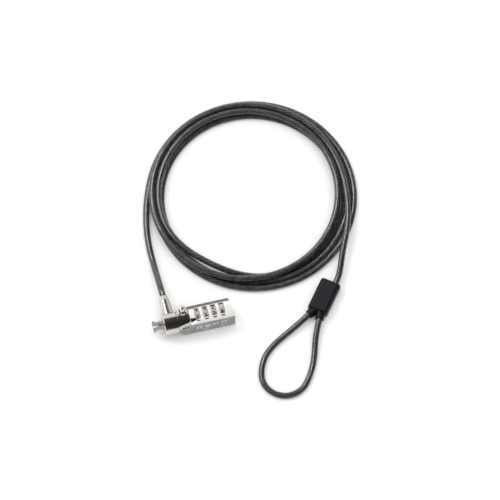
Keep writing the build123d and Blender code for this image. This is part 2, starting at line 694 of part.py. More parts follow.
with BuildPart() as detent_spring:
    with BuildSketch(DETENT_PLANE.offset(DETENT_LOW)):
        Rectangle(DETENT_X1 - DETENT_X0, 1.5)
    extrude(amount=DETENT_HIGH - DETENT_LOW)
    with BuildSketch(DETENT_PLANE.offset(7.2)):
        with Locations(*[(x - (DETENT_X0 + DETENT_X1) / 2, 0) for x in DIAL_X]):
            Rectangle(1.4, 0.5)
    extrude(amount=0.35)
save(detent_spring, "detent_spring")

# ---------------------------------------------------------------- spindle, button and springs
FIN_OFFSET = -PRESS_TRAVEL / 2
FIN_T = 1.0

with BuildPart() as spindle:
    with BuildSketch(Plane.XY):
        with BuildLine():
            Polyline(
                (8.4, 0),
                (8.4, SPINDLE_R),
                (CAM_X, SPINDLE_R),
                (CAM_X + CAM_R - SPINDLE_R, CAM_R),
                (CAM_X + CAM_R - SPINDLE_R + 0.55, CAM_R),
                (CAM_X + CAM_R - SPINDLE_R + 0.55, SPINDLE_R),
                (41.4, SPINDLE_R),
                (41.4, 0),
                (8.4, 0),
            )
        make_face()
    revolve(axis=Axis.X)
    # flat tongue and wedge head between the hook tails
    with BuildSketch(Plane.XY.offset(-1.2)):
        Polygon(
            (8.5, 0.4), (5.35, 0.4), (5.0, 0.9), (4.6, 0.9), (4.45, 0.7),
            (4.45, -0.7), (4.6, -0.9), (5.0, -0.9), (5.35, -0.4), (8.5, -0.4),
            align=None,
        )
    extrude(amount=2.4)
    for x in DIAL_X:
        with BuildSketch(Plane.YZ.offset(x + FIN_OFFSET - FIN_T / 2)):
            with Locations((0, -2.25)):
                Rectangle(1.2, 1.7)
        extrude(amount=FIN_T)
    with BuildSketch(Plane.YZ.offset(34.0)):
        Circle(1.05)
    extrude(amount=8, mode=Mode.SUBTRACT)
save(spindle, "spindle")

with BuildPart() as spindle_spring:
    with BuildLine() as coil:
        Helix(pitch=0.85, height=9.9, radius=0.8, center=(34.2, 0, 0), direction=(1, 0, 0))
    with BuildSketch(Plane(origin=coil.line @ 0, z_dir=coil.line % 0)):
        Circle(0.14)
    sweep(path=coil.line, is_frenet=True)
save(spindle_spring, "spindle_spring")

with BuildPart() as button:
    with BuildSketch(BUTTON_PLANE.offset(BUTTON_LOW)):
        Circle(BUTTON_R)
    extrude(amount=BUTTON_SIDE_TOP - BUTTON_LOW)
    dome_rise = BUTTON_TOP - BUTTON_SIDE_TOP
    dome_radius = (BUTTON_R ** 2 + dome_rise ** 2) / (2 * dome_rise)
    crown_plane = Plane(
        origin=BUTTON_PLANE.offset(BUTTON_SIDE_TOP).origin,
        x_dir=BUTTON_PLANE.x_dir,
        z_dir=tuple(-v for v in BUTTON_PLANE.y_dir),
    )
    with BuildSketch(crown_plane):
        with BuildLine():
            Line((0, 0), (BUTTON_R, 0))
            RadiusArc((BUTTON_R, 0), (0, dome_rise), -dome_radius)
            Line((0, dome_rise), (0, 0))
        make_face()
    revolve(axis=Axis(BUTTON_PLANE.origin, BUTTON_PLANE.z_dir))
    # two ears that the bezel holds down, and the cam tooth
    with BuildSketch(BUTTON_PLANE.offset(BUTTON_LOW - 0.25)):
        Rectangle(EAR_X, EAR_SPAN)
    extrude(amount=0.25)
    cam_plane = Plane(
        origin=(BUTTON_X, 0, 0),
        x_dir=(1, 0, 0),
        z_dir=tuple(-v for v in BUTTON_PLANE.y_dir),
    )
    with BuildSketch(cam_plane):
        Polygon((0.9, 4.4), (2.1, 5.6), (2.1, 6.4), (0.9, 6.4), align=None)
    extrude(amount=0.9, both=True)
save(button, "button")

with BuildPart() as button_bezel:
    with BuildSketch(BUTTON_PLANE.offset(BEZEL_LOW)):
        Circle(BEZEL_R)
        Circle(BUTTON_R + RUN, mode=Mode.SUBTRACT)
    extrude(amount=BEZEL_TOP - BEZEL_LOW)
    top_ring = button_bezel.faces().filter_by(GeomType.PLANE).sort_by(Axis.Z)[-1]
    chamfer(top_ring.edges().sort_by(SortBy.LENGTH)[-1], 0.35)
save(button_bezel, "button_bezel")

with BuildPart() as reset_slider:
    with BuildSketch(Plane.XZ.offset(RESET_FLOOR + RUN)):
        with Locations((RESET_X0 + 1.15, (RESET_Z0 + RESET_Z1) / 2)):
            Rectangle(2.0, RESET_Z1 - RESET_Z0 - 0.1)
    extrude(amount=1.35)
save(reset_slider, "reset_slider")
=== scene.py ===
"""Laptop cable lock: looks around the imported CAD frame. Metres, in the row frame.

The cable's route, the digits and the index marks are worked out in millimetres first.
"""

import math

import bpy
import numpy as np
from mathutils import Matrix, Vector


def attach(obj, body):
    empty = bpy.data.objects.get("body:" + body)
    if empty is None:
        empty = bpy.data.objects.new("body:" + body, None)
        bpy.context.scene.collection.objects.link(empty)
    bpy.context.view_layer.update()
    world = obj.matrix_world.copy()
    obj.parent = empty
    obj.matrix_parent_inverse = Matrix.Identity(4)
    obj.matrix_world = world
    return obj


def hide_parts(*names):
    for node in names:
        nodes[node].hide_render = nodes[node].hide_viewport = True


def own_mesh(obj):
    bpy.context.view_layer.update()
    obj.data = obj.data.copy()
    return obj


MM = 0.001
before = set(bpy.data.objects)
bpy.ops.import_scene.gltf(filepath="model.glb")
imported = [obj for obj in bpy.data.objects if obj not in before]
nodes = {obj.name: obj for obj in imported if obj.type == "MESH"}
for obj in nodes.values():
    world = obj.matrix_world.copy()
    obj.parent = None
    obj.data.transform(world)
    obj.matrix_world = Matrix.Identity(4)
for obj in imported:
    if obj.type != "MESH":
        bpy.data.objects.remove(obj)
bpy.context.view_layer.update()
scene = bpy.context.scene


# ---------------------------------------------------------------- node helpers
class Graph:
    """A small builder for one node tree."""

    def __init__(self, tree):
        self.tree = tree
        tree.nodes.clear()

    def add(self, kind, inputs=None, **props):
        """A node with these inputs, each a value or another node's socket."""
        node = self.tree.nodes.new(kind)
        for key, value in props.items():
            setattr(node, key, value)
        for key, value in (inputs or {}).items():
            self.put(node.inputs[key], value)
        return node

    def put(self, socket, value):
        """Link a socket to this one, or set its value. A colour may come without its alpha."""
        if isinstance(value, bpy.types.NodeSocket):
            self.tree.links.new(value, socket)
        elif socket.type == "RGBA" and len(value) == 3:
            socket.default_value = (*value, 1)
        else:
            socket.default_value = value

    def calc(self, operation, *values):
        """One step of arithmetic."""
        node = self.add("ShaderNodeMath", operation=operation)
        for socket, value in zip(node.inputs, values):
            self.put(socket, value)
        return node.outputs[0]

    def ramp(self, value, *stops):
        """A colour ramp through (position, colour) stops."""
        node = self.add("ShaderNodeValToRGB", {"Fac": value})
        ramp = node.color_ramp
        while len(ramp.elements) < len(stops):
            ramp.elements.new(0.5)
        for element, (position, colour) in zip(ramp.elements, stops):
            element.position = position
            element.color = (*colour, 1)
        return node.outputs["Color"]

    def mix(self, factor, first, second):
        """The first shader node at factor 0, and the second at 1."""
        node = self.add("ShaderNodeMixShader")
        for socket, value in zip(node.inputs, (factor, first.outputs[0], second.outputs[0])):
            self.put(socket, value)
        return node


class Mat(Graph):
    """A small builder for one material."""

    def __init__(self, name):
        self.mat = bpy.data.materials.new(name)
        self.mat.use_nodes = True
        super().__init__(self.mat.node_tree)
        self.out = self.add("ShaderNodeOutputMaterial")
        self.coord = self.add("ShaderNodeTexCoord").outputs["Object"]

    def noise(self, scale, stretch=(1, 1, 1), detail=3.0, rough=0.55):
        """Noise with this many features per metre, stretched along an axis."""
        mapped = self.add("ShaderNodeMapping", {"Vector": self.coord, "Scale": stretch})
        inputs = {"Vector": mapped.outputs[0], "Scale": scale, "Detail": detail, "Roughness": rough}
        return self.add("ShaderNodeTexNoise", inputs).outputs["Fac"]

    def span(self, value, low, high, from_low=0.3, from_high=0.7):
        """The value mapped to the range low..high."""
        inputs = {"Value": value, "From Min": from_low, "From Max": from_high, "To Min": low, "To Max": high}
        return self.add("ShaderNodeMapRange", inputs).outputs[0]

    def blend(self, factor, a, b):
        """Colour a at factor 0, and colour b at 1."""
        node = self.add("ShaderNodeMix", data_type="RGBA")
        for key, value in (("Factor", factor), ("A", a), ("B", b)):
            self.put(node.inputs[key], value)
        return node.outputs["Result"]

    def bump(self, height, strength, distance, normal=None):
        """A normal disturbed by this height, on top of another normal if there is one."""
        inputs = {"Height": height, "Strength": strength, "Distance": distance}
        if normal is not None:
            inputs["Normal"] = normal
        return self.add("ShaderNodeBump", inputs).outputs[0]

    def rounded(self, radius):
        """A normal that rounds hard edges by this radius."""
        return self.add("ShaderNodeBevel", {"Radius": radius}, samples=6).outputs[0]

    def edge_wear(self, radius):
        """1 close to a hard edge and 0 away from it."""
        rounded = self.rounded(radius)
        flat = self.add("ShaderNodeNewGeometry").outputs["Normal"]
        dot = self.add("ShaderNodeVectorMath", operation="DOT_PRODUCT")
        self.put(dot.inputs[0], rounded)
        self.put(dot.inputs[1], flat)
        return self.span(dot.outputs["Value"], 1, 0, 0.8, 0.995)

    def cavity(self, distance):
        """Ambient occlusion for painted groove shade: 1 in open places and darker in grooves."""
        return self.add("ShaderNodeAmbientOcclusion", {"Distance": distance}, samples=4).outputs["AO"]

    def worn(self, tone, bright, edge, dark, groove_shade):
        """The tone with bright edges, partly wear and partly painted highlight, and with painted shade
        darkening the grooves by the given strength.
        """
        tone = self.blend(self.edge_wear(edge), tone, bright)
        groove = self.span(self.cavity(GROOVE_REACH), groove_shade, 0, 0.25, 0.85)
        return self.blend(groove, tone, dark)

    def finish(self, shader):
        """The material, with this shader node as its surface."""
        self.put(self.out.inputs["Surface"], shader.outputs[0])
        return self.mat

    def surface(self, **inputs):
        """The material, with a Principled shader as its surface. Each underscore stands for a space."""
        named = {key.replace("_", " "): value for key, value in inputs.items()}
        return self.finish(self.add("ShaderNodeBsdfPrincipled", named))


# ---------------------------------------------------------------- metals
SMUDGE_SCALE, GRAIN_SCALE = 170.0, 2600.0  # features per metre
GROOVE_REACH = 1.2 * MM
GRAIN_STRENGTH, GRAIN_DEPTH = 0.12, 0.02 * MM
# noise stretched so that the brushed grain runs along one axis
ALONG_X = (0.12, 1, 1)
ALONG_Y = (1, 0.12, 1)
CHAMPAGNE, CHAMPAGNE_DARK = (0.75, 0.71, 0.655), (0.22, 0.19, 0.165)
STEEL, STEEL_DARK = (0.62, 0.61, 0.60), (0.16, 0.155, 0.15)


def times(colour, factor):
    """The colour made this much lighter or darker."""
    return tuple(factor * c for c in colour)


def metal(name, colour, dark, rough, brush=(1, 1, 1), grain=GRAIN_SCALE, edge=0.12, groove_shade=0.5, metallic=1.0):
    """A worked metal: brushed grain, smudges, painted shade in the grooves, and bright edges, partly wear and
    partly painted highlight, rounded by this many mm.
    """
    m = Mat(name)
    smudge = m.noise(SMUDGE_SCALE, detail=5.0, rough=0.6)
    fine = m.noise(grain, stretch=brush, detail=2.0)
    tone = m.blend(m.span(smudge, 0, 1, 0.35, 0.7), colour, times(colour, 0.9))
    tone = m.blend(m.span(fine, 0, 0.25), tone, dark)
    bright = tuple(min(1, 1.12 * c + 0.04) for c in colour)
    # bright edges, partly wear and partly painted highlight; the dark grain colour doubles as the painted
    # groove shade
    tone = m.worn(tone, bright, 2 * edge * MM, dark, groove_shade)
    roughness = m.calc("ADD", m.span(smudge, rough, rough + 0.12, 0.3, 0.75), m.span(fine, -0.03, 0.05))
    normal = m.bump(fine, GRAIN_STRENGTH, GRAIN_DEPTH, m.rounded(edge * MM))
    return m.surface(Base_Color=tone, Metallic=metallic, Roughness=roughness, Normal=normal)


# where the casing's look changes: the polish ends at an x, and from a y the far edge is darker and mottled
POLISH_END = (16.9 * MM, 17.1 * MM)
FAR_EDGE = (3.6 * MM, 4.6 * MM)
# a stripe of polish runs on beside the near ramp, between two lines y = slope * x + start
STRIPE_TOP_SLOPE, STRIPE_TOP_START = -0.15, 0.25 * MM
STRIPE_LOW_SLOPE, STRIPE_LOW_START = 0.25, -9.4 * MM
# the satin top's colours, plain and smudged: the plating's tone lifted near white as painted reflection
SATIN_LIT, SATIN_LIT_SMUDGED = (0.97, 0.95, 0.90), (0.88, 0.85, 0.79)
# painted reflection of the shaded floor on the side walls, plain and smudged
WALL_SHADE, WALL_SHADE_SMUDGED = (0.17, 0.18, 0.195), (0.31, 0.32, 0.335)
MOTTLE_DARK, MOTTLE_LIGHT = (0.035, 0.03, 0.028), (0.25, 0.23, 0.21)
# bright edge colour, partly wear and partly painted highlight, and the colour of the painted groove shade
CASING_EDGE, CASING_GROOVE_SHADE = (0.93, 0.90, 0.86), (0.13, 0.115, 0.10)


def polish_stripe(m, x, y, facing_x):
    """1 on the faces beside the near ramp that keep the polish of the round front."""
    over_top = m.calc("ADD", y, m.calc("MULTIPLY_ADD", x, -STRIPE_TOP_SLOPE, -STRIPE_TOP_START))
    over_low = m.calc("SUBTRACT", y, m.calc("MULTIPLY_ADD", x, STRIPE_LOW_SLOPE, STRIPE_LOW_START))
    stripe = m.calc("MULTIPLY", m.span(over_top, 1, 0, -0.2 * MM, 0), m.span(over_low, 0, 1, 0, 0.1 * MM))
    return m.calc("MULTIPLY", stripe, m.span(facing_x, 0, 1, -0.08, -0.03))


def casing_metal(name):
    """Plated casing: a polished round front, and a satin top behind it whose near white is partly its tone
    and partly painted reflection. The side walls are duller, and painted reflection of the shaded floor makes
    them dark bluish.
    """
    m = Mat(name)
    smudge = m.noise(SMUDGE_SCALE, detail=5.0, rough=0.6)
    smudged = m.span(smudge, 0, 1, 0.35, 0.7)
    fine = m.noise(GRAIN_SCALE, stretch=ALONG_X, detail=2.0)
    place = m.add("ShaderNodeSeparateXYZ", {"Vector": m.coord})
    facing = m.add("ShaderNodeSeparateXYZ", {"Vector": m.add("ShaderNodeTexCoord").outputs["Normal"]})
    x, y = place.outputs["X"], place.outputs["Y"]
    stripe = polish_stripe(m, x, y, facing.outputs["X"])
    satin = m.calc("MAXIMUM", m.calc("SUBTRACT", m.span(x, 0, 1, *POLISH_END), stripe), 0.0)
    wall = m.span(m.calc("ABSOLUTE", facing.outputs["Y"]), 0, 1, 0.75, 0.93)
    mottled = m.blend(m.span(m.noise(900.0, detail=4.0), 0, 1), MOTTLE_DARK, MOTTLE_LIGHT)
    # the satin top in its lit colours, and the far edge darker and mottled
    satin_tone = m.blend(m.span(y, 0, 1, *FAR_EDGE), m.blend(smudged, SATIN_LIT, SATIN_LIT_SMUDGED), mottled)
    tone = m.blend(satin, m.blend(smudged, CHAMPAGNE, times(CHAMPAGNE, 0.9)), satin_tone)
    # side walls, picked by the way they face, take the painted floor reflection
    tone = m.blend(wall, tone, m.blend(m.span(smudge, 0, 1), WALL_SHADE, WALL_SHADE_SMUDGED))
    tone = m.blend(m.span(fine, 0, 0.2), tone, CHAMPAGNE_DARK)
    # bright edges, partly wear and partly painted highlight, and painted shade in the grooves
    tone = m.worn(tone, CASING_EDGE, 0.22 * MM, CASING_GROOVE_SHADE, 0.75)
    dull = m.calc("MAXIMUM", satin, wall)
    roughness = m.calc("ADD", m.span(dull, 0.16, 0.42, 0, 1), m.span(smudge, -0.02, 0.08, 0.3, 0.75))
    metallic = m.span(dull, 1.0, 0.3, 0, 1)
    normal = m.bump(fine, GRAIN_STRENGTH, GRAIN_DEPTH, m.rounded(0.12 * MM))
    return m.surface(Base_Color=tone, Metallic=metallic, Roughness=roughness, Normal=normal)


DIAL_NICKEL, DIAL_DARK = (0.80, 0.775, 0.73), (0.16, 0.15, 0.14)
BUTTON_NICKEL, BUTTON_DARK = (0.86, 0.84, 0.81), (0.35, 0.33, 0.31)
BARREL, SPRING = (0.55, 0.54, 0.53), (0.58, 0.56, 0.53)
SCREW, SCREW_DARK = (0.36, 0.36, 0.37), (0.07, 0.07, 0.075)
BRASS, BRASS_DARK = (0.83, 0.62, 0.27), (0.3, 0.19, 0.06)
ALUMINIUM, ALUMINIUM_DARK = (0.77, 0.78, 0.79), (0.3, 0.3, 0.31)
casing_nickel = casing_metal("satin_nickel")
collar_nickel = metal("collar_nickel", CHAMPAGNE, CHAMPAGNE_DARK, rough=0.14, brush=ALONG_Y)
dial_nickel = metal(
    "dial_nickel",
    DIAL_NICKEL,
    DIAL_DARK,
    rough=0.35,
    brush=ALONG_Y,
    grain=3400.0,
    edge=0.1,
    groove_shade=0.75,
    metallic=0.5,
)
button_nickel = metal("button_nickel", BUTTON_NICKEL, BUTTON_DARK, rough=0.12, grain=4000.0)
hardened_steel = metal(
    "hardened_steel", STEEL, STEEL_DARK, rough=0.3, brush=ALONG_X, grain=3000.0, metallic=0.7
)
barrel_steel = metal("barrel_steel", BARREL, STEEL_DARK, rough=0.24, brush=ALONG_X)
screw_steel = metal("screw_steel", SCREW, SCREW_DARK, rough=0.3, grain=5000.0, edge=0.06)
spring_steel = metal("spring_steel", SPRING, STEEL_DARK, rough=0.22, grain=6000.0, edge=0.04)
brass = metal("brass_ring", BRASS, BRASS_DARK, rough=0.2, brush=ALONG_Y, grain=3000.0, edge=0.08)
aluminium = metal("crimp_aluminium", ALUMINIUM, ALUMINIUM_DARK, rough=0.3, grain=2400.0)


# ---------------------------------------------------------------- plastics, enamel and the rope
def moulded(name, colour, light, rough, pebble, depth):
    """A moulded black plastic or rubber: fine pebble grain, scuffs and a soft sheen."""
    m = Mat(name)
    cloudy = m.noise(240.0, detail=4.0)
    scuff = m.noise(900.0, stretch=(1, 0.2, 1), detail=6.0, rough=0.7)
    grain = m.noise(pebble, detail=2.0)
    tone = m.blend(m.span(cloudy, 0, 0.5), colour, light)
    # lighter near hard edges
    tone = m.blend(m.span(m.edge_wear(0.5 * MM), 0, 0.35, 0, 1), tone, light)
    tone = m.blend(m.span(scuff, 0, 0.35, 0.6, 0.78), tone, times(light, 2.2))
    roughness = m.span(cloudy, rough - 0.05, rough + 0.12)
    normal = m.bump(grain, 0.35, depth, m.rounded(0.3 * MM))
    return m.surface(Base_Color=tone, Roughness=roughness, Normal=normal, Specular_IOR_Level=0.25)


def enamel(name, colour):
    """The paint in the digits and index marks."""
    m = Mat(name)
    uneven = m.noise(3000.0, detail=4.0)
    tone = m.blend(m.span(uneven, 0, 1), colour, times(colour, 2.5))
    normal = m.bump(uneven, 0.2, 0.02 * MM)
    return m.surface(Base_Color=tone, Roughness=m.span(uneven, 0.35, 0.55), Normal=normal)


STRAND_DULL, STRAND_BRIGHT = (0.46, 0.46, 0.46), (0.90, 0.90, 0.89)
# the dark lines between wires, and painted shade for the valleys between strands
WIRE_GAP, STRAND_GAP_SHADE = (0.12, 0.12, 0.125), (0.012, 0.012, 0.014)
WIRES_PER_MM = 1.6


def strand_steel(name):
    """Twisted wires. The uv layer holds the distance along the rope, and 1 where a spot faces outward; spots
    facing inward get painted shade for the valleys between strands.
    """
    m = Mat(name)
    split = m.add("ShaderNodeSeparateXYZ", {"Vector": m.add("ShaderNodeTexCoord").outputs["UV"]})
    along, outward = split.outputs["X"], split.outputs["Y"]
    wave = m.calc("PINGPONG", m.calc("MULTIPLY_ADD", along, WIRES_PER_MM, outward), 0.5)
    smudge = m.noise(300.0, detail=4.0)
    tone = m.ramp(m.span(smudge, 0, 1), (0.0, STRAND_DULL), (1.0, STRAND_BRIGHT))
    tone = m.blend(m.span(wave, 0.5, 0, 0.0, 0.25), tone, WIRE_GAP)
    # painted shade where a strand faces inward, into the valleys between strands
    tone = m.blend(m.span(outward, 1, 0, 0.55, 0.98), tone, STRAND_GAP_SHADE)
    normal = m.bump(wave, 0.5, 0.08 * MM)
    return m.surface(Base_Color=tone, Metallic=0.5, Roughness=m.span(smudge, 0.35, 0.5), Normal=normal)


SMOKE_THICK, SMOKE_THIN = (0.46, 0.46, 0.475), (0.60, 0.60, 0.61)
SMOKE_SHADOW = (0.86, 0.86, 0.87)
BENT_IOR, SHEEN_IOR = 1.3, 1.6


def clear_jacket(name):
    """Smoke-tinted clear vinyl. Light falls straight through it, and the eye sees the strands magnified."""
    m = Mat(name)
    shadow_ray = m.add("ShaderNodeLightPath").outputs["Is Shadow Ray"]
    haze = m.noise(420.0, detail=5.0)
    tint = m.ramp(m.span(haze, 0, 1), (0.0, SMOKE_THICK), (1.0, SMOKE_THIN))
    normal = m.bump(haze, 0.08, 0.05 * MM)
    rough, sheen_rough = m.span(haze, 0.03, 0.1), m.span(haze, 0.12, 0.2)
    inputs = {"Color": tint, "Roughness": rough, "IOR": BENT_IOR, "Normal": normal}
    bent = m.add("ShaderNodeBsdfRefraction", inputs)
    straight = m.add("ShaderNodeBsdfTransparent", {"Color": SMOKE_SHADOW})
    gloss = m.add("ShaderNodeBsdfGlossy", {"Color": (1, 1, 1), "Roughness": sheen_rough, "Normal": normal})
    fresnel = m.add("ShaderNodeFresnel", {"IOR": SHEEN_IOR, "Normal": normal}).outputs[0]
    sheen = m.calc("MAXIMUM", m.calc("SUBTRACT", fresnel, shadow_ray), 0.0)
    return m.finish(m.mix(sheen, m.mix(shadow_ray, bent, straight), gloss))


RUBBER, RUBBER_LIGHT = (0.003, 0.005, 0.0075), (0.008, 0.0115, 0.016)
PLASTIC, PLASTIC_LIGHT = (0.012, 0.012, 0.013), (0.03, 0.03, 0.032)
ENAMEL = (0.0025, 0.0025, 0.003)
sleeve_rubber = moulded("moulded_black", RUBBER, RUBBER_LIGHT, rough=0.42, pebble=2800.0, depth=0.05 * MM)
slider_plastic = moulded("black_slider", PLASTIC, PLASTIC_LIGHT, rough=0.4, pebble=5000.0, depth=0.02 * MM)
digit_paint = enamel("digit_enamel", ENAMEL)
rope_steel = strand_steel("rope_steel")
jacket_vinyl = clear_jacket("smoke_jacket")

# ---------------------------------------------------------------- the looks of the CAD nodes
NODE_LOOKS = {
    "swivel_collar": collar_nickel,
    "upper_casing": casing_nickel,
    "lower_cover": casing_nickel,
    "nose_barrel": barrel_steel,
    "nose_pin": hardened_steel,
    "hook_pin": hardened_steel,
    "hook_left": hardened_steel,
    "hook_right": hardened_steel,
    "hook_spring": spring_steel,
    "detent_spring": spring_steel,
    "spindle_spring": spring_steel,
    "spindle": hardened_steel,
    "casing_screws": screw_steel,
    "button": button_nickel,
    "button_bezel": button_nickel,
    "reset_slider": slider_plastic,
    "rope_stop": hardened_steel,
    "loop_crimp": aluminium,
    "loop_sleeve": sleeve_rubber,
}
DIAL_X = [22.2, 27.6, 33.0, 38.4]
for number in range(1, len(DIAL_X) + 1):
    NODE_LOOKS["dial_%d" % number] = dial_nickel
    NODE_LOOKS["code_ring_%d" % number] = brass
for name, look in NODE_LOOKS.items():
    mesh = nodes[name].data
    mesh.materials.clear()
    mesh.materials.append(look)


# ---------------------------------------------------------------- meshes
def new_piece(name, vertices, faces, look, uvs=None, smooth=True):
    """A mesh object from vertices in metres."""
    mesh = bpy.data.meshes.new(name)
    mesh.from_pydata([tuple(v) for v in vertices], [], faces)
    mesh.polygons.foreach_set("use_smooth", [smooth] * len(mesh.polygons))
    if uvs is not None:
        layer = mesh.uv_layers.new(name="along")
        index = np.zeros(len(mesh.loops), int)
        mesh.loops.foreach_get("vertex_index", index)
        layer.data.foreach_set("uv", np.asarray(uvs, np.float32)[index].ravel())
    mesh.materials.append(look)
    mesh.update()
    piece = bpy.data.objects.new(name, mesh)
    scene.collection.objects.link(piece)
    return piece


def joined(parts):
    """The vertices and faces of several (vertices, faces) parts as one mesh."""
    vertices = np.concatenate([part[0] for part in parts])
    faces, start = [], 0
    for part in parts:
        faces += [[i + start for i in face] for face in part[1]]
        start += len(part[0])
    return vertices, faces


# ---------------------------------------------------------------- the cable's route, in mm
CABLE_R = 2.0
CABLE_LOW_Z = -6.0
STRAND_PITCH = 4.12
CABLE_HIGH_Z = CABLE_LOW_Z + STRAND_PITCH
COIL, COIL_OUTER_R = (76.2, 76.0), 65.8
UPPER, UPPER_R = (74.5, 78.3), 57.4
CONE_X, CABLE_START, CABLE_DEAD_END = 4.5, 12.05, 8.0
TAIL_EXIT_Y, TAIL_LOW_Y = 20.5, 52.0
# y and z of the tail on its way down from the cone to the floor
TAIL_SAG = ((29.0, -1.35), (TAIL_LOW_Y - 9, CABLE_LOW_Z + 0.9))
SLEEVE_X, SLEEVE_Y, SLEEVE_Z = 105.1, -3.2, -4.25
SLEEVE_ANGLE = math.radians(52.7)
SLEEVE_LENGTH, LEG_OFFSET = 22.7, 2.6
LOOP_R, LOOP_CENTRE, LOOP_SHIFT = 15.0, 58.7, -1.5
FLOOR_TURNS, CLIMB_START, CLIMB_TOP, LEAVE_ANGLE = 3, -95, -130, 12
# the drift outward on top of the floor turns: degrees past the climb's top, and mm outward
DRIFT = ((0, 0), (17.4, 1.5), (34.8, 4.2))
STANDING_START = 14.0
LEG_START = SLEEVE_LENGTH / 2 - 1.2
# the rope's way down from the coil to the sleeve
LEAD = ((135.6, 62, CABLE_HIGH_Z), (131.2, 42, CABLE_HIGH_Z), (122.6, 21, -2.7))
# both legs of the loop: distance from the middle of the sleeve, distance across it, height
STANDING_LEG = [(LEG_START, 2.6, -4.25), (16, 3.5, -4.3), (27.5, 6.3, -5.0), (38, 10.0, -5.9), (48, 12.7, -6)]
DEAD_LEG = [
    (LEG_START, -2.6, -4.25),
    (16, -4.5, -4.35),
    (24.6, -8.2, -4.9),
    (33, -12.1, -5.5),
    (43, -16.3, -5.95),
    (52, -18.0, -6),
]
DEAD_BEND = 64
ROUTE_STEP, SAME_POINT = 0.4, 1e-4


def on_circle(centre, radius, degrees, z):
    """Points of a level circle."""
    t = np.radians(np.atleast_1d(degrees))
    return np.stack((centre[0] + radius * np.cos(t), centre[1] + radius * np.sin(t), np.full(len(t), z)), 1)


def arc(centre, radius, start, end, z):
    """Points of a level arc, about ROUTE_STEP apart."""
    count = int(radius * math.radians(abs(end - start)) / ROUTE_STEP) + 2
    return on_circle(centre, radius, np.linspace(start, end, count), z)


def clockwise(degrees):
    """Heading of a clockwise turn at this angle of its circle."""
    t = math.radians(degrees)
    return np.array((math.sin(t), -math.cos(t), 0))


def spline(points, start_heading, end_heading):
    """A smooth cubic through the points, with the headings given at its ends."""
    p = np.array(points, float)
    h = np.linalg.norm(np.diff(p, axis=0), axis=1)
    n = len(p)
    lhs, rhs = np.zeros((n, n)), np.zeros((n, 3))
    lhs[0, 0] = lhs[-1, -1] = 1
    rhs[0], rhs[-1] = start_heading, end_heading
    for i in range(1, n - 1):
        lhs[i, i - 1 : i + 2] = h[i], 2 * (h[i - 1] + h[i]), h[i - 1]
        rhs[i] = 3 * (h[i] * (p[i] - p[i - 1]) / h[i - 1] + h[i - 1] * (p[i + 1] - p[i]) / h[i])
    slope = np.linalg.solve(lhs, rhs)
    rows = []
    for i in range(n - 1):
        t = np.linspace(0, 1, int(h[i] / ROUTE_STEP) + 2)[:, None]
        rows.append(
            (2 * t**3 - 3 * t**2 + 1) * p[i]
            + (t**3 - 2 * t**2 + t) * h[i] * slope[i]
            + (3 * t**2 - 2 * t**3) * p[i + 1]
            + (t**3 - t**2) * h[i] * slope[i + 1]
        )
    return np.concatenate(rows)


def sleeve_point(along, across, z=SLEEVE_Z):
    """A point placed from the sleeve: along its axis away from the loop, and across it."""
    c, s = math.cos(SLEEVE_ANGLE), math.sin(SLEEVE_ANGLE)
    return np.array((SLEEVE_X + along * c + across * s, SLEEVE_Y + along * s - across * c, z))


def sleeve_heading(turn):
    """Heading towards the loop, turned by this angle."""
    return sleeve_point(-math.cos(turn), math.sin(turn)) - sleeve_point(0, 0)


def loop_point(bend):
    """A point of the loop's round end, from 90 degrees on the standing side to -90 on the other."""
    t = math.radians(bend)
    return sleeve_point(-LOOP_CENTRE - LOOP_R * math.cos(t), LOOP_SHIFT + LOOP_R * math.sin(t), CABLE_LOW_Z)


def loop_leg(spots, bend):
    """One leg, from the sleeve to where it meets the round end."""
    return [sleeve_point(-along, across, z) for along, across, z in spots] + [loop_point(bend)]


def climb_route(centre):
    """The coil's last floor turn rises inside the turn below it, then drifts out on top of it."""
    inside = COIL_OUTER_R - (FLOOR_TURNS - 0.5) * STRAND_PITCH
    rise = []
    for t in (0, 0.25, 0.5, 0.75, 1):
        angle = CLIMB_START + (CLIMB_TOP - CLIMB_START) * t
        height = CABLE_LOW_Z + STRAND_PITCH * t * t * (3 - 2 * t)
        rise.append(on_circle(centre, inside, angle, height)[0])
    drift = [on_circle(centre, inside + out, CLIMB_TOP - past, CABLE_HIGH_Z)[0] for past, out in DRIFT]
    drift.append(on_circle(UPPER, UPPER_R, 180, CABLE_HIGH_Z)[0])
    return [
        spline(rise, clockwise(CLIMB_START), clockwise(CLIMB_TOP)),
        spline(drift, clockwise(CLIMB_TOP), clockwise(180)),
    ]


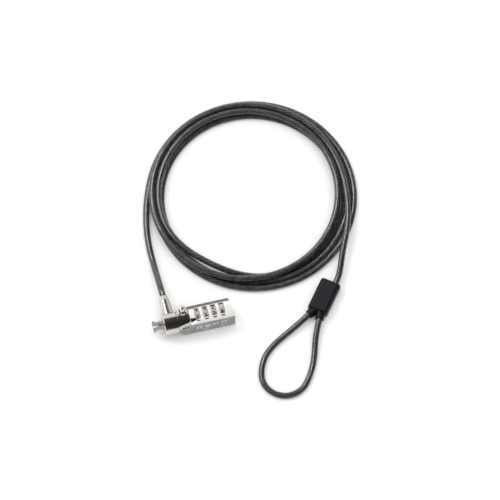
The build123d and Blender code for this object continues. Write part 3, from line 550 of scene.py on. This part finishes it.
def coil_route():
    """The tail's bend, three turns on the floor, a climb, the layer on top, and the lead to the sleeve."""
    dx, dy = COIL[0] - CONE_X, COIL[1] - TAIL_LOW_Y
    tail_r = (dx**2 + dy**2 - COIL_OUTER_R**2) / (2 * (dx - COIL_OUTER_R))
    tail_centre = (CONE_X + tail_r, TAIL_LOW_Y)
    start = math.degrees(math.atan2(dy, COIL[0] - tail_centre[0]))
    rows = [arc(tail_centre, tail_r, 180, start, CABLE_LOW_Z)]
    # each turn is two half circles, the second one shifted so that the coil tightens by one rope
    radius, shifted = COIL_OUTER_R, (COIL[0] + STRAND_PITCH / 2, COIL[1])
    for turn in range(FLOOR_TURNS):
        end = CLIMB_START if turn == FLOOR_TURNS - 1 else -180
        rows.append(arc(COIL, radius, start, 0, CABLE_LOW_Z))
        rows.append(arc(shifted, radius - STRAND_PITCH / 2, 0, end, CABLE_LOW_Z))
        radius, start = radius - STRAND_PITCH, 180
    rows += climb_route(shifted)
    widening = (UPPER[0] - STRAND_PITCH / 2, UPPER[1])
    outer = UPPER_R + STRAND_PITCH
    rows.append(arc(UPPER, UPPER_R, 180, 0, CABLE_HIGH_Z))
    rows.append(arc(widening, UPPER_R + STRAND_PITCH / 2, 0, -180, CABLE_HIGH_Z))
    rows.append(arc(UPPER, outer, 180, LEAVE_ANGLE, CABLE_HIGH_Z))
    leave = on_circle(UPPER, outer, LEAVE_ANGLE, CABLE_HIGH_Z)[0]
    lead = [leave, *LEAD, sleeve_point(STANDING_START, LEG_OFFSET)]
    rows.append(spline(lead, clockwise(LEAVE_ANGLE), sleeve_heading(0)))
    return np.concatenate(rows)


def cable_route():
    """The whole route as points, from the cable stop to the dead end in the sleeve."""
    tail = [(CONE_X, y, z) for y, z in ((TAIL_EXIT_Y, 0), *TAIL_SAG, (TAIL_LOW_Y, CABLE_LOW_Z))]
    going, coming = loop_leg(STANDING_LEG, 90), loop_leg(DEAD_LEG, -DEAD_BEND)
    parts = [
        np.linspace((CONE_X, CABLE_START, 0), tail[0], 20),
        spline(tail, (0, 1, 0), (0, 1, 0)),
        coil_route(),
        np.linspace(sleeve_point(STANDING_START, LEG_OFFSET), going[0], 60),
        spline(going, sleeve_heading(0), sleeve_heading(0)),
        [loop_point(bend) for bend in np.linspace(90, -DEAD_BEND, 100)],
        spline(coming, sleeve_heading(0), sleeve_heading(math.radians(90 - DEAD_BEND)))[::-1],
        np.linspace(coming[0], sleeve_point(CABLE_DEAD_END, -LEG_OFFSET), 48),
    ]
    return np.concatenate(parts)


def even_steps(points, step):
    """The same line in even steps, with the distance along it."""
    keep = np.concatenate(([True], np.linalg.norm(np.diff(points, axis=0), axis=1) > SAME_POINT))
    points = points[keep]
    run = np.concatenate(([0], np.cumsum(np.linalg.norm(np.diff(points, axis=0), axis=1))))
    at = np.linspace(0, run[-1], int(run[-1] / step) + 1)
    return np.stack([np.interp(at, run, points[:, k]) for k in range(3)], 1), at


def carried_frames(points):
    """Two directions square to the line, carried along it without twist."""
    heading = np.gradient(points, axis=0)
    heading /= np.linalg.norm(heading, axis=1)[:, None]
    side = np.zeros_like(points)
    side[0] = np.cross(heading[0], (0, 0, 1))
    side[0] /= np.linalg.norm(side[0])
    for i in range(1, len(points)):
        s = side[i - 1] - heading[i] * (side[i - 1] @ heading[i])
        side[i] = s / np.linalg.norm(s)
    return side, np.cross(heading, side)


def tube(points, side, up, radius, sides, at):
    """A closed tube round a line. Its uvs are the distance along it in mm, and 1 towards the side."""
    turn = np.linspace(0, 2 * math.pi, sides, endpoint=False)
    ring = np.cos(turn)[None, :, None] * side[:, None] + np.sin(turn)[None, :, None] * up[:, None]
    vertices = (points[:, None] + radius * ring).reshape(-1, 3)
    n = len(points)
    base = (np.arange(n - 1) * sides)[:, None]
    k = np.arange(sides)[None]
    nxt = (k + 1) % sides
    quads = np.stack((base + k, base + nxt, base + sides + nxt, base + sides + k), 2).reshape(-1, 4)
    ends = [list(range(sides))[::-1], list(range((n - 1) * sides, n * sides))]
    uvs = np.stack(np.broadcast_arrays(at[:, None], np.cos(turn)[None]), 2).reshape(-1, 2)
    return vertices, quads.tolist() + ends, uvs


# ---------------------------------------------------------------- the cable
JACKET_STEP, JACKET_SIDES = 1.3, 20
STRANDS, LAY, STRAND_R, STRAND_AT, CORE_R = 8, 20.0, 0.42, 1.06, 0.7
STRAND_STEP, STRAND_SIDES = 0.62, 8


def cable_jacket(route):
    """The clear tube round the rope."""
    line, run = even_steps(route, JACKET_STEP)
    side, up = carried_frames(line)
    vertices, faces, uvs = tube(line, side, up, CABLE_R, JACKET_SIDES, run)
    return new_piece("jacket_tube", vertices * MM, faces, jacket_vinyl, uvs)


def rope_strands(route):
    """The strands, twisted once per LAY round a straight core."""
    line, run = even_steps(route, STRAND_STEP)
    side, up = carried_frames(line)
    tubes = []
    for strand in range(STRANDS):
        phase = -2 * math.pi * run / LAY + 2 * math.pi * strand / STRANDS
        out = np.cos(phase)[:, None] * side + np.sin(phase)[:, None] * up
        centre = line + STRAND_AT * out
        heading = np.gradient(centre, axis=0)
        heading /= np.linalg.norm(heading, axis=1)[:, None]
        tubes.append(tube(centre, out, np.cross(heading, out), STRAND_R, STRAND_SIDES, run))
    core = tube(line, side, up, CORE_R, STRAND_SIDES, run)
    core[2][:, 1] = 0  # the core counts as facing nowhere, so it gets the painted shade of the valleys
    tubes.append(core)
    vertices, faces = joined(tubes)
    return new_piece("rope_strands", vertices * MM, faces, rope_steel, np.concatenate([t[2] for t in tubes]))


route = cable_route()
jacket, strands = cable_jacket(route), rope_strands(route)
for piece, node, slot in ((jacket, "cable_jacket", "smoke_jacket"), (strands, "wire_rope", "rope_steel")):
    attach(piece, "cable")
    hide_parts(node)

# ---------------------------------------------------------------- digits on the dials
DIAL_R = 7.15
DIGITS = 10
DIGIT_HEIGHT, DIGIT_RAISE, DIGIT_DEPTH = 2.9, 0.02, 0.06
DIGIT_NARROWING, DIGIT_THICKENING = 0.9, 0.045
SHOWN_DIGITS = (0, 5, 3, 8)
SHOWN_TURN = 18  # degrees by which the shown digit is turned towards the near side


def flat_digit(text):
    """The mesh of one digit, DIGIT_HEIGHT tall and centred on its box, in mm. Its faces lie at z -1 and 1."""
    curve = bpy.data.curves.new("digit", "FONT")
    curve.body = text
    curve.resolution_u = 3
    curve.extrude = 0.02
    curve.offset = DIGIT_THICKENING
    holder = bpy.data.objects.new("digit", curve)
    scene.collection.objects.link(holder)
    bpy.context.view_layer.update()
    mesh = bpy.data.meshes.new_from_object(holder.evaluated_get(bpy.context.evaluated_depsgraph_get()))
    points = np.array([v.co for v in mesh.vertices])
    faces = [list(p.vertices) for p in mesh.polygons]
    bpy.data.objects.remove(holder)
    bpy.data.curves.remove(curve)
    bpy.data.meshes.remove(mesh)
    low, high = points.min(0), points.max(0)
    points = (points - (low + high) / 2) * DIGIT_HEIGHT / (high[1] - low[1])
    points[:, 2] = np.sign(points[:, 2])
    return points, faces


def on_dial(digit, dial_x, degrees):
    """A flat digit wrapped round its dial, this far round from the top."""
    points, faces = digit
    angle = -math.radians(degrees) + points[:, 1] / DIAL_R
    radius = DIAL_R + np.where(points[:, 2] > 0, DIGIT_RAISE, -DIGIT_DEPTH)
    x = dial_x + DIGIT_NARROWING * points[:, 0]
    return np.stack((x, radius * np.sin(angle), radius * np.cos(angle)), 1), faces


flat_digits = [flat_digit(str(d)) for d in range(DIGITS)]
for number, (dial_x, shown) in enumerate(zip(DIAL_X, SHOWN_DIGITS), start=1):
    placed = []
    for place in range(DIGITS):
        digit = flat_digits[(shown + place) % DIGITS]
        placed.append(on_dial(digit, dial_x, 360 / DIGITS * place + SHOWN_TURN))
    vertices, faces = joined(placed)
    digits = new_piece("dial_%d_digits" % number, vertices * MM, faces, digit_paint, smooth=False)
    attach(digits, "dial_%d" % number)

# ---------------------------------------------------------------- index marks
INDEX_Y, INDEX_Z, INDEX_TILT = -4.75, 6.42, 0.3
INDEX_SIZE = (2.3, 0.66, 0.3)
CORNER_SHARE, CORNER_POINTS = 0.6, 4


def bar(centre, size, tilt):
    """A small bar with softened corners, tilted about X to lie on the casing."""
    half = np.array(size) / 2
    corner = min(half[:2]) * CORNER_SHARE
    outline = []
    for sx, sy, base in ((1, 1, 0), (-1, 1, 90), (-1, -1, 180), (1, -1, 270)):
        for k in range(CORNER_POINTS):
            t = math.radians(base + 90 / (CORNER_POINTS - 1) * k)
            x = sx * (half[0] - corner) + corner * math.cos(t)
            y = sy * (half[1] - corner) + corner * math.sin(t)
            outline.append((x, y))
    n = len(outline)
    rows = [(x, y, -half[2]) for x, y in outline] + [(x, y, half[2]) for x, y in outline]
    faces = [[i, (i + 1) % n, n + (i + 1) % n, n + i] for i in range(n)]
    faces += [list(range(n))[::-1], list(range(n, 2 * n))]
    turned = np.array(rows) @ np.array(Matrix.Rotation(tilt, 3, "X")).T
    return turned + np.array(centre), faces


vertices, faces = joined([bar((dial_x, INDEX_Y, INDEX_Z), INDEX_SIZE, INDEX_TILT) for dial_x in DIAL_X])
marks = new_piece("index_marks", vertices * MM, faces, digit_paint, smooth=False)
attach(marks, "lock_body")


# ---------------------------------------------------------------- springs copied onto the lock body
def soft_spring(name):
    """A copy of a spring with a mesh of its own, attached to the lock body in place of the hidden CAD node.
    """
    spring = bpy.data.objects.new(name + "_soft", nodes[name].data.copy())
    scene.collection.objects.link(spring)
    spring.matrix_world = nodes[name].matrix_world
    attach(spring, "lock_body")
    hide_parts(name)
    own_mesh(spring)


soft_spring("spindle_spring")
soft_spring("hook_spring")

# ---------------------------------------------------------------- floor, lights and camera
FLOOR_Z, FLOOR_HALF = -8.0 * MM, 1.6
PAPER, PAPER_LIGHT = (0.86, 0.86, 0.86), (0.88, 0.88, 0.88)
# what polished metal mirrors, by angle over the lock: 0 is the far horizon and 180 the near one
ROOM = ((0, 1.1), (40, 1.05), (52, 0.06), (120, 0.03), (176, 0.04), (180, 0.5))
DAYLIGHT = 1.0
CENTRE = Vector((66.26, 38.30, 0.0)) * MM
VIEW_AZIMUTH, VIEW_ELEVATION = math.radians(-13.5), math.radians(66)
VIEW_WIDTH, VIEW_DISTANCE = 0.320, 1.5


def backdrop():
    """A pale seamless floor."""
    m = Mat("floor_paper")
    fibre = m.noise(900.0, detail=4.0)
    tone = m.blend(m.span(fibre, 0, 1), PAPER, PAPER_LIGHT)
    normal = m.bump(fibre, 0.05, 0.05 * MM)
    look = m.surface(Base_Color=tone, Roughness=0.85, Normal=normal, Specular_IOR_Level=0.2)
    corners = [(sx * FLOOR_HALF, sy * FLOOR_HALF, FLOOR_Z) for sx, sy in ((-1, -1), (1, -1), (1, 1), (-1, 1))]
    new_piece("studio_floor", corners, [[0, 1, 2, 3]], look, smooth=False)


def studio_world():
    """Even white light for dull surfaces. Polished metal mirrors a bright far wall and a dark room."""
    world = bpy.data.worlds.new("studio")
    scene.world = world
    world.use_nodes = True
    world.cycles.sampling_method = "NONE"
    g = Graph(world.node_tree)
    toward = g.add("ShaderNodeSeparateXYZ", {"Vector": g.add("ShaderNodeTexCoord").outputs["Generated"]})
    half_turns = g.calc("DIVIDE", g.calc("ARCTAN2", toward.outputs["Z"], toward.outputs["Y"]), math.pi)
    shade = g.ramp(half_turns, *[(degrees / 180, (level, level, level)) for degrees, level in ROOM])
    mirrored = g.add("ShaderNodeBackground", {"Color": shade})
    plain = g.add("ShaderNodeBackground", {"Color": (1, 1, 1), "Strength": DAYLIGHT})
    mixed = g.mix(g.add("ShaderNodeLightPath").outputs["Is Glossy Ray"], plain, mirrored)
    g.add("ShaderNodeOutputWorld", {"Surface": mixed.outputs[0]})


def softbox(name, place, size, power):
    """A rectangular area light, placed in metres, that faces the middle of the picture."""
    data = bpy.data.lights.new(name, "AREA")
    data.shape, data.size, data.size_y = "RECTANGLE", size[0], size[1]
    data.energy = power
    lamp = bpy.data.objects.new(name, data)
    scene.collection.objects.link(lamp)
    lamp.location = place
    lamp.rotation_euler = (CENTRE - Vector(place)).to_track_quat("-Z", "Y").to_euler()
    return lamp


def lights():
    """A key and a soft fill, and a small lamp that draws one thin line along the glossy cable."""
    softbox("key", (-0.75, 0.70, 1.35), size=(0.75, 0.6), power=7.0)
    fill = softbox("fill", (0.3, 0.1, 1.5), size=(1.2, 1.2), power=5.0)
    fill.visible_glossy = False
    glint = softbox("glint", (-0.05, 0.85, 1.40), size=(0.3, 0.3), power=5.0)
    glint.visible_diffuse = False
    glossy_things = bpy.data.collections.new("glossy_things")
    for piece in (jacket, nodes["loop_sleeve"]):
        glossy_things.objects.link(piece)
    glint.light_linking.receiver_collection = glossy_things


def camera():
    """The camera, without perspective, high in front of the lock."""
    flat = math.cos(VIEW_ELEVATION)
    back = Vector((math.sin(VIEW_AZIMUTH) * flat, -math.cos(VIEW_AZIMUTH) * flat, math.sin(VIEW_ELEVATION)))
    data = bpy.data.cameras.new("camera")
    data.type = "ORTHO"
    data.ortho_scale = VIEW_WIDTH
    data.clip_start, data.clip_end = 0.01, 10.0
    eye = bpy.data.objects.new("camera", data)
    scene.collection.objects.link(eye)
    eye.location = CENTRE + back * VIEW_DISTANCE
    eye.rotation_euler = (-back).to_track_quat("-Z", "Y").to_euler()
    scene.camera = eye
    scene.view_settings.view_transform = "Standard"
    scene.view_settings.look = "None"


backdrop()
studio_world()
lights()
camera()
